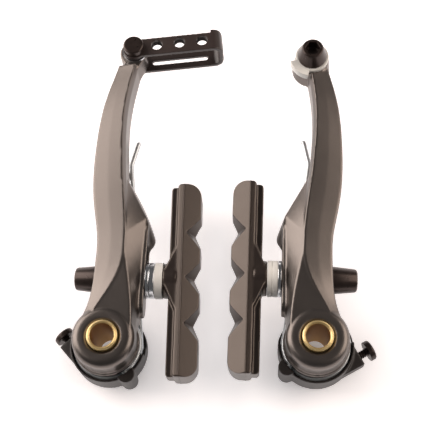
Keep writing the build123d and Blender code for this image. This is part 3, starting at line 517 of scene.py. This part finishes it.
studSettings = {"depth": 12.4, "height": 22.8, "swap": {"left": 0.0, "right": 1.2}}  # mm; the right pad is set nearer
studAxis = ((0, studSettings["depth"], studSettings["height"]), (1, 0, 0), (0, 1, 0), (0, 0, 1))
washerEdge = 0.3
washerSettings = {  # ends along the stud, share of the swap at each end, rim and bore radius, finish left and right
    "inner_flat_washer": {"ends": (12.3, 13.6), "share": (0, 0), "rim": 6.4, "bore": 3.4,
                          "left": nickelPlate, "right": nickelPlate},
    "inner_cup_washer": {"ends": (13.6, 15.5), "share": (0, 0), "rim": 6.4, "bore": 4.2,
                         "left": nickelPlate, "right": zincPlate},
    "inner_ball_washer": {"ends": (15.5, 18.4), "share": (0, 1), "rim": 6.4, "bore": 3.4,
                          "left": zincPlate, "right": zincPlate},
    "outer_cup_washer": {"ends": (5.9, 4.0), "share": (0, 0), "rim": 5.8, "bore": 4.2,
                         "left": nickelPlate, "right": zincPlate},
    "outer_ball_washer": {"ends": (4.0, 1.0), "share": (0, 1), "rim": 5.8, "bore": 3.4,
                          "left": zincPlate, "right": zincPlate},
    "outer_flat_washer": {"ends": (1.0, -0.2), "share": (1, 1), "rim": 5.8, "bore": 3.4,
                          "left": nickelPlate, "right": nickelPlate},
}
for side in sides:
    for name, washer in washerSettings.items():
        start, end = np.subtract(washer["ends"], np.multiply(washer["share"], studSettings["swap"][side]))
        profile = [(start, washer["bore"]), (start, washer["rim"]), (end, washer["rim"]), (end, washer["bore"])]
        mesh = gridMesh(f"{side}_{name}_ring", place(side, turned(profile, studAxis)), True)
        piece = addPiece(f"{side}_{name}_ring", mesh, washer[side], side + "_pad_clamp", [f"{side}_{name}"])
        softEdges(piece, washerEdge)

nutSettings = {"seat": -0.2, "length": 12.6, "flange": 5.7, "flangeLength": 1.4, "neck": 0.3, "base": 5.1, "end": 4.0,
               "flare": 0.08, "crown": 0.8, "shoulder": 0.25, "key": 2.5, "socket": 5.0, "lead": 0.3, "edge": 0.2}
keyRows = slice(7, 10)  # the points of the nut's profile that bound the hexagon
for side in sides:
    nut = nutSettings
    seat = nut["seat"] - studSettings["swap"][side]
    under, tip = seat - nut["flangeLength"], seat - nut["length"]
    profile = [(seat, 0), (seat, nut["flange"]), (under, nut["flange"]), (under - nut["neck"], nut["base"]),
               (tip + nut["crown"], nut["end"] + nut["flare"]), (tip + nut["shoulder"], nut["end"] - nut["shoulder"]),
               (tip, nut["end"] - nut["crown"]), (tip, nut["key"] + nut["lead"]), (tip + nut["lead"], nut["key"]),
               (tip + nut["socket"], nut["key"]), (tip + nut["socket"], 0)]
    mesh = gridMesh(side + "_pad_nut_cap", place(side, turned(profile, studAxis, hexRows=keyRows)), False)
    piece = addPiece(side + "_pad_nut_cap", mesh, blackOxide, side + "_pad_clamp", [side + "_pad_nut"])
    softEdges(piece, nut["edge"])

bushSettings = {"length": 23.9, "outer": 5.25, "bore": 4.04, "chamfer": 0.5, "steps": 128,
                "edge": 0.3, "edgeAngle": 20.0, "edgeSegments": 4, "boreMargin": 0.05}
pivotAxis = ((0, 0, 0), (0, 1, 0), (1, 0, 0), (0, 0, 1))
for side in sides:
    bush = bushSettings
    length, lip = bush["length"], bush["length"] - bush["chamfer"]
    profile = [(0, bush["bore"]), (0, bush["outer"]), (lip, bush["outer"]), (length, bush["outer"] - bush["chamfer"]),
               (length, bush["bore"] + bush["chamfer"]), (lip, bush["bore"])]
    mesh = gridMesh(side + "_bush_sleeve", place(side, turned(profile, pivotAxis, bush["steps"])), True)
    piece = addPiece(side + "_bush_sleeve", mesh, brass, "base", [side + "_pivot_bush"])
    # faces inside the bore take the darker brass: painted shade in the bore
    mesh.materials.append(shadedBoreBrass)
    centre = np.empty(len(mesh.polygons) * 3, np.float32)
    mesh.polygons.foreach_get("center", centre)
    x, _, z = (centre.reshape(-1, 3) - place(side, (0, 0, 0))).T * 1000
    mesh.polygons.foreach_set("material_index", (np.hypot(x, z) < bush["bore"] + bush["boreMargin"]).astype(np.int32))
    softEdges(piece, bush["edge"], bush["edgeAngle"], bush["edgeSegments"])
print("washers, nuts and bushes done")


screwSettings = {"angle": -38.0, "face": 12.3, "offset": 9.0, "depth": 2.5, "out": {"left": 1.6, "right": 3.2},
                 "shank": 1.62, "core": 0.9, "threadFrom": 0.3, "pitch": 0.75, "cut": 0.32, "voxel": 0.13, "relax": 2}
for side in sides:
    # the CAD screw's own surface, its shank drawn in by a saw-tooth of the distance along the screw plus the angle about it
    screw = screwSettings
    mesh = castCopy(side + "_tension_screw", screw)
    co = meshPoints(mesh).astype(float)
    ahead = np.array([np.cos(radians(screw["angle"])), 0.0, np.sin(radians(screw["angle"]))])
    across = np.array([ahead[2], 0.0, -ahead[0]])
    start = np.array([0.0, screw["depth"], 0.0]) + across * screw["offset"] - ahead * (screw["face"] + screw["out"][side])
    origin, axes = placeAxes(side, start, (ahead, across, (0, 1, 0)), layout["housingTurn"])
    along, u, v = ((co - origin) @ axes.T * 1000).T
    radius = np.hypot(u, v)
    tooth = np.abs((along / screw["pitch"] + np.arctan2(v, u) / (2 * np.pi)) % 1 * 2 - 1)
    onShank = (along > screw["threadFrom"]) & (radius < screw["shank"]) & (radius > screw["core"])
    drawn = np.where(onShank, screw["cut"] * tooth, 0.0)
    outward = (u / radius)[:, None] * axes[1] + (v / radius)[:, None] * axes[2]
    movePoints(mesh, co - outward * drawn[:, None] / 1000)
    addPiece(side + "_tension_thread", mesh, blackOxide, side + "_screw", [side + "_tension_screw"])
print("screws threaded")

springSettings = {"wire": 0.95, "around": 14, "coil": 11.2, "rear": 5.9, "pitch": 2.0, "turns": 2, "coilSteps": 420,
                  "top": (2.6, 70.0), "tip": (4.9, 80.0), "tipSteps": 12, "bend": 5.0, "bendSteps": 24, "legSteps": 60,
                  "hook": 3.4, "hookAngle": -47.0, "hookGaps": (0.4, 0.9), "hookSteps": 8, "smoothAngle": 60.0,
                  "still": -8.0, "carried": 13.0}
endSteps = np.array([0.0, 0.1, 0.3, 0.6])  # mm from the wire's ends, close together where it rounds off
for side in sides:
    # the wire's path: tip, bend and leg in a plane, two turns of coil falling back by the pitch, then the hook straight out
    spring = springSettings
    root, top, tip = (np.array(p) for p in ((spring["coil"], 0.0), spring["top"], spring["tip"]))
    upper = (tip - top) / np.linalg.norm(tip - top)
    lower = (top - root) / np.linalg.norm(top - root)
    cut = spring["bend"] * np.tan(np.arccos(np.clip(upper @ lower, -1, 1)) / 2)
    bendStart, bendEnd = top + upper * cut, top - lower * cut
    u = np.linspace(0, 1, spring["bendSteps"])[:, None]
    bend = (1 - u) ** 2 * bendStart + 2 * u * (1 - u) * top + u ** 2 * bendEnd
    fromTip = np.concatenate([endSteps, np.linspace(1, np.linalg.norm(tip - bendStart), spring["tipSteps"])])
    leg = bendEnd + (root - bendEnd) * np.linspace(0, 1, spring["legSteps"])[1:, None]
    flat = np.concatenate([tip - upper * fromTip[:, None], bend[1:], leg])
    legPath = np.stack([flat[:, 0], np.full(len(flat), spring["rear"]), flat[:, 1]], -1)
    housingTurn = (layout["housingTurn"] - layout["armLean"]) * (1 if side == "left" else -1)
    sweep = radians(360 * spring["turns"] - (spring["hookAngle"] - housingTurn))
    a = np.linspace(0, sweep, spring["coilSteps"])[1:]
    coil = np.stack([spring["coil"] * np.cos(a), spring["rear"] + spring["pitch"] * a / (2 * np.pi),
                     -spring["coil"] * np.sin(a)], -1)
    out = np.array([np.cos(sweep), 0.0, -np.sin(sweep)])
    near, far = spring["hookGaps"][0], spring["hook"] - spring["hookGaps"][1]
    reach = np.concatenate([np.linspace(near, far, spring["hookSteps"]), spring["hook"] - endSteps[::-1]])
    path = place(side, np.concatenate([legPath, coil, coil[-1] + out * reach[:, None]]))
    wire = sweptWire(path, spring["wire"] / 1000, spring["around"])
    mesh = gridMesh(side + "_spring_wire", wire, False, spring["smoothAngle"])
    piece = addPiece(side + "_spring_wire", mesh, springSteel, None, [side + "_return_spring"])
    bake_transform(piece)  # baked in place, riding on no body
print("springs wound")


plainNodes = {"left_stop_pin": zincPlate, "right_stop_pin": zincPlate, "left_pad_stud": zincPlate,
              "right_pad_stud": zincPlate, "left_link_washer": nickelPlate}  # shown as the CAD has them
for node, finish in plainNodes.items():
    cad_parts[node].material_slots[0].material = finish
